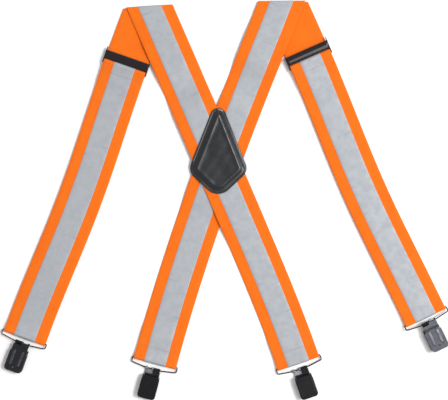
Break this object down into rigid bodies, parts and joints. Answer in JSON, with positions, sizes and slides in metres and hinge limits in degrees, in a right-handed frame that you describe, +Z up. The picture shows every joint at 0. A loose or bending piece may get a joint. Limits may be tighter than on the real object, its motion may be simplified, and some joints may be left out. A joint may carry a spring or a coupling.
{
  "type": "trouser braces",
  "caption": "X-back trouser braces in wide reflective webbing with a leather crosspatch, slide adjusters and lever clips, lying flat.",
  "frame": {"origin": "centre of the braces' box, on the surface they lie on", "axes": "+X across to the right as laid out, +Y towards the shoulder folds, +Z up from the surface"},
  "size_m": [0.5115, 0.457, 0.01],
  "materials": {
    "webbing": "woven elastic webbing, high-visibility orange",
    "reflective_tape": "retroreflective silver tape",
    "strap_thread": "twisted sewing thread",
    "patch_thread": "waxed sewing thread",
    "foam": "foam padding",
    "leather": "fine grained black leather",
    "adjuster_metal": "black lacquered steel",
    "wire": "black plated steel wire",
    "clip_metal": "black lacquered pressed steel",
    "grip_plastic": "moulded toothed plastic",
    "pin_steel": "turned steel"
  },
  "bodies": {
    "straps": {"left_back_strap": "webbing", "left_back_tape": "reflective_tape", "left_back_tack": "strap_thread", "left_front_strap": "webbing", "left_front_tape": "reflective_tape", "right_back_strap": "webbing", "right_back_tape": "reflective_tape", "right_back_tack": "strap_thread", "right_front_strap": "webbing", "right_front_tape": "reflective_tape", "crosspatch_back_leather": "leather", "crosspatch_front_leather": "leather", "crosspatch_padding": "foam", "crosspatch_stitching": "patch_thread"},
    "left_strap_end": {"left_return_strap": "webbing", "left_return_tape": "reflective_tape"},
    "left_adjuster": {"left_adjuster_frame": "adjuster_metal", "left_adjuster_pin": "adjuster_metal", "left_return_tack": "strap_thread"},
    "left_adjuster_grip": {"left_adjuster_grip": "adjuster_metal"},
    "left_front_loop": {"left_front_wire_loop": "wire"},
    "left_front_clip": {"left_front_base_plate": "clip_metal", "left_front_lever_pin": "pin_steel", "left_front_lower_grip": "grip_plastic"},
    "left_front_jaw": {"left_front_jaw_plate": "clip_metal", "left_front_upper_grip": "grip_plastic"},
    "left_front_lever": {"left_front_lever": "clip_metal"},
    "left_back_loop": {"left_back_wire_loop": "wire"},
    "left_back_clip": {"left_back_base_plate": "clip_metal", "left_back_lever_pin": "pin_steel", "left_back_lower_grip": "grip_plastic"},
    "left_back_jaw": {"left_back_jaw_plate": "clip_metal", "left_back_upper_grip": "grip_plastic"},
    "left_back_lever": {"left_back_lever": "clip_metal"},
    "right_strap_end": {"right_return_strap": "webbing", "right_return_tape": "reflective_tape"},
    "right_adjuster": {"right_adjuster_frame": "adjuster_metal", "right_adjuster_pin": "adjuster_metal", "right_return_tack": "strap_thread"},
    "right_adjuster_grip": {"right_adjuster_grip": "adjuster_metal"},
    "right_front_loop": {"right_front_wire_loop": "wire"},
    "right_front_clip": {"right_front_base_plate": "clip_metal", "right_front_lever_pin": "pin_steel", "right_front_lower_grip": "grip_plastic"},
    "right_front_jaw": {"right_front_jaw_plate": "clip_metal", "right_front_upper_grip": "grip_plastic"},
    "right_front_lever": {"right_front_lever": "clip_metal"},
    "right_back_loop": {"right_back_wire_loop": "wire"},
    "right_back_clip": {"right_back_base_plate": "clip_metal", "right_back_lever_pin": "pin_steel", "right_back_lower_grip": "grip_plastic"},
    "right_back_jaw": {"right_back_jaw_plate": "clip_metal", "right_back_upper_grip": "grip_plastic"},
    "right_back_lever": {"right_back_lever": "clip_metal"}
  },
  "joints": [
    {"name": "left_length", "type": "slide", "parent": "straps", "child": "left_strap_end", "axis": [-0.347, -0.9379, 0], "range_m": [0, 0.12], "deforming": ["left_front_strap", "left_front_tape", "left_return_strap", "left_return_tape"]},
    {"name": "left_adjuster_slide", "type": "slide", "parent": "left_strap_end", "child": "left_adjuster", "axis": [-0.347, -0.9379, 0], "range_m": [0, 0.12]},
    {"name": "left_grip_hinge", "type": "hinge", "parent": "left_adjuster", "child": "left_adjuster_grip", "pos_m": [-0.11083, 0.16212, 0.0053], "axis": [-0.9438, 0.3305, 0], "range_deg": [0, 75]},
    {"name": "left_front_loop_swing", "type": "hinge", "parent": "left_strap_end", "child": "left_front_loop", "pos_m": [-0.22869, -0.15656, 0.0028], "axis": [-0.9397, 0.342, 0], "range_deg": [0, 60]},
    {"name": "left_front_clip_tilt", "type": "hinge", "parent": "left_front_loop", "child": "left_front_clip", "pos_m": [-0.23122, -0.16351, 0.0072], "axis": [-0.9397, 0.342, 0], "range_deg": [0, 30]},
    {"name": "left_front_lever_hinge", "type": "hinge", "parent": "left_front_clip", "child": "left_front_lever", "pos_m": [-0.23423, -0.17178, 0.00255], "axis": [0.9397, -0.342, 0], "range_deg": [0, 95]},
    {"name": "left_front_jaw_hinge", "type": "hinge", "parent": "left_front_clip", "child": "left_front_jaw", "pos_m": [-0.23122, -0.16351, 0.0072], "axis": [0.9397, -0.342, 0], "range_deg": [0, 4]},
    {"name": "left_back_loop_swing", "type": "hinge", "parent": "straps", "child": "left_back_loop", "pos_m": [0.08384, -0.18555, 0.0028], "axis": [-0.9455, -0.3256, 0], "range_deg": [0, 80]},
    {"name": "left_back_clip_tilt", "type": "hinge", "parent": "left_back_loop", "child": "left_back_clip", "pos_m": [0.08664, -0.19368, 0.0028], "axis": [-0.9455, -0.3256, 0], "range_deg": [0, 30]},
    {"name": "left_back_lever_hinge", "type": "hinge", "parent": "left_back_clip", "child": "left_back_lever", "pos_m": [0.0895, -0.202, 0.00745], "axis": [-0.9455, -0.3256, 0], "range_deg": [0, 95]},
    {"name": "left_back_jaw_hinge", "type": "hinge", "parent": "left_back_clip", "child": "left_back_jaw", "pos_m": [0.08664, -0.19368, 0.0028], "axis": [-0.9455, -0.3256, 0], "range_deg": [0, 4]},
    {"name": "right_length", "type": "slide", "parent": "straps", "child": "right_strap_end", "axis": [0.4087, -0.9127, 0], "range_m": [0, 0.12], "deforming": ["right_front_strap", "right_front_tape", "right_return_strap", "right_return_tape"]},
    {"name": "right_adjuster_slide", "type": "slide", "parent": "right_strap_end", "child": "right_adjuster", "axis": [0.4087, -0.9127, 0], "range_m": [0, 0.12]},
    {"name": "right_grip_hinge", "type": "hinge", "parent": "right_adjuster", "child": "right_adjuster_grip", "pos_m": [0.0932, 0.17094, 0.0053], "axis": [-0.915, -0.4035, 0], "range_deg": [0, 75]},
    {"name": "right_front_loop_swing", "type": "hinge", "parent": "right_strap_end", "child": "right_front_loop", "pos_m": [0.22934, -0.13327, 0.0028], "axis": [-0.9018, -0.4321, 0], "range_deg": [0, 60]},
    {"name": "right_front_clip_tilt", "type": "hinge", "parent": "right_front_loop", "child": "right_front_clip", "pos_m": [0.23253, -0.13993, 0.0072], "axis": [-0.9018, -0.4321, 0], "range_deg": [0, 30]},
    {"name": "right_front_lever_hinge", "type": "hinge", "parent": "right_front_clip", "child": "right_front_lever", "pos_m": [0.23633, -0.14787, 0.00255], "axis": [0.9018, 0.4321, 0], "range_deg": [0, 95]},
    {"name": "right_front_jaw_hinge", "type": "hinge", "parent": "right_front_clip", "child": "right_front_jaw", "pos_m": [0.23253, -0.13993, 0.0072], "axis": [0.9018, 0.4321, 0], "range_deg": [0, 4]},
    {"name": "right_back_loop_swing", "type": "hinge", "parent": "straps", "child": "right_back_loop", "pos_m": [-0.07963, -0.18549, 0.0028], "axis": [-0.9659, 0.2588, 0], "range_deg": [0, 80]},
    {"name": "right_back_clip_tilt", "type": "hinge", "parent": "right_back_loop", "child": "right_back_clip", "pos_m": [-0.08185, -0.1938, 0.0028], "axis": [-0.9659, 0.2588, 0], "range_deg": [0, 30]},
    {"name": "right_back_lever_hinge", "type": "hinge", "parent": "right_back_clip", "child": "right_back_lever", "pos_m": [-0.08413, -0.2023, 0.00745], "axis": [-0.9659, 0.2588, 0], "range_deg": [0, 95]},
    {"name": "right_back_jaw_hinge", "type": "hinge", "parent": "right_back_clip", "child": "right_back_jaw", "pos_m": [-0.08185, -0.1938, 0.0028], "axis": [-0.9659, 0.2588, 0], "range_deg": [0, 4]}
  ],
  "couplings": [
    {"joint": "left_adjuster_slide", "follows": "left_length", "ratio": 1},
    {"joint": "left_front_jaw_hinge", "follows": "left_front_lever_hinge", "ratio": 0.042},
    {"joint": "left_back_jaw_hinge", "follows": "left_back_lever_hinge", "ratio": 0.042},
    {"joint": "right_adjuster_slide", "follows": "right_length", "ratio": 1},
    {"joint": "right_front_jaw_hinge", "follows": "right_front_lever_hinge", "ratio": 0.042},
    {"joint": "right_back_jaw_hinge", "follows": "right_back_lever_hinge", "ratio": 0.042}
  ]
}
